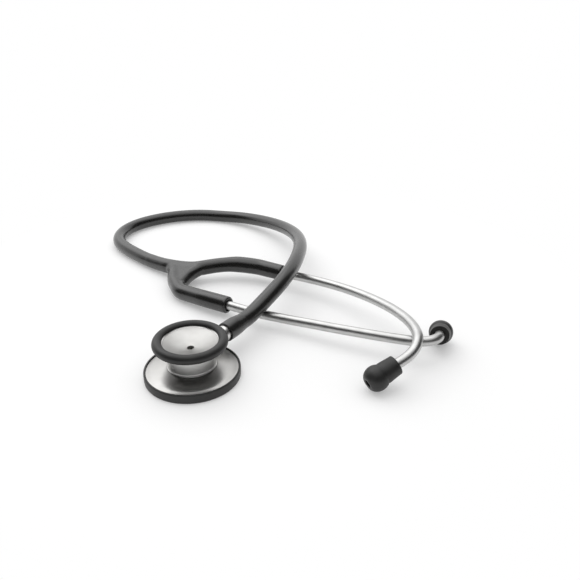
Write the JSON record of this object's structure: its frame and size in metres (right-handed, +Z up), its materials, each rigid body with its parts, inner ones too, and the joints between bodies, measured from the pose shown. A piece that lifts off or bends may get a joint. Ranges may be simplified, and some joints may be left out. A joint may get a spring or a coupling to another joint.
{
  "type": "stethoscope",
  "caption": "Dual-head stethoscope lying on a table, with a turning bell and diaphragm chestpiece, a black tube, a webbed yoke and sprung steel ear tubes.",
  "frame": {"origin": "centre of the diaphragm's working face, on the table", "axes": "+Z up from the table, +X to the right in the picture and towards the ear tips, +Y away from the camera and towards the yoke"},
  "size_m": [0.2173, 0.2437, 0.0251],
  "materials": {
    "turned_steel": "fine turned satin",
    "polished_steel": "polished",
    "threaded_brass": "machined",
    "black_pvc": "satin",
    "black_rubber": "matt",
    "diaphragm_sheet": "smooth"
  },
  "bodies": {
    "tube_and_yoke": {"stem": "turned_steel", "stem_o_ring": "black_rubber", "tube_cuff": "black_pvc", "main_tube": "black_pvc", "yoke": "black_pvc", "binaural_spring": "turned_steel"},
    "chestpiece": {"diaphragm": "diaphragm_sheet", "diaphragm_ring": "black_rubber", "diaphragm_dish": "turned_steel", "bell_body": "turned_steel", "bell_ring": "black_rubber", "detent_spring": "turned_steel", "detent_screw": "turned_steel"},
    "detent": {"detent_ball": "turned_steel"},
    "left_arm": {"left_arm": "black_pvc"},
    "left_ear": {"left_ear_tube": "polished_steel", "left_tip_ferrule": "threaded_brass", "left_ear_tip": "black_rubber"},
    "right_arm": {"right_arm": "black_pvc"},
    "right_ear": {"right_ear_tube": "polished_steel", "right_tip_ferrule": "threaded_brass", "right_ear_tip": "black_rubber"}
  },
  "joints": [
    {"name": "chestpiece_swivel", "type": "hinge", "parent": "tube_and_yoke", "child": "chestpiece", "pos_m": [0, 0, 0.012], "axis": [0.5736, 0.8192, 0], "continuous": true},
    {"name": "detent_click", "type": "slide", "parent": "chestpiece", "child": "detent", "axis": [-0.8192, 0.5736, 0], "range_m": [0, 0.0003], "stiffness_N_per_m": 600, "springref_m": -0.0005},
    {"name": "left_arm_spread", "type": "hinge", "parent": "tube_and_yoke", "child": "left_arm", "pos_m": [-0.013, 0.1063, 0.00825], "axis": [-0.5993, 0.0499, 0.799], "range_deg": [0, 25], "stiffness_Nm_per_rad": 0.5, "springref_deg": -6.88},
    {"name": "right_arm_spread", "type": "hinge", "parent": "tube_and_yoke", "child": "right_arm", "pos_m": [-0.0215, 0.0865, 0.00556], "axis": [0.299, 0.3986, -0.867], "range_deg": [0, 25], "stiffness_Nm_per_rad": 0.5, "springref_deg": -6.88},
    {"name": "left_ear_tube_twist", "type": "hinge", "parent": "left_arm", "child": "left_ear", "pos_m": [0.0436, 0.0974, 0.0094], "axis": [-0.866, 0.5, 0], "range_deg": [0, 45]},
    {"name": "right_ear_tube_twist", "type": "hinge", "parent": "right_arm", "child": "right_ear", "pos_m": [0.0126, 0.0593, 0.007], "axis": [-0.86, 0.51, -0.02], "range_deg": [0, 45]}
  ]
}
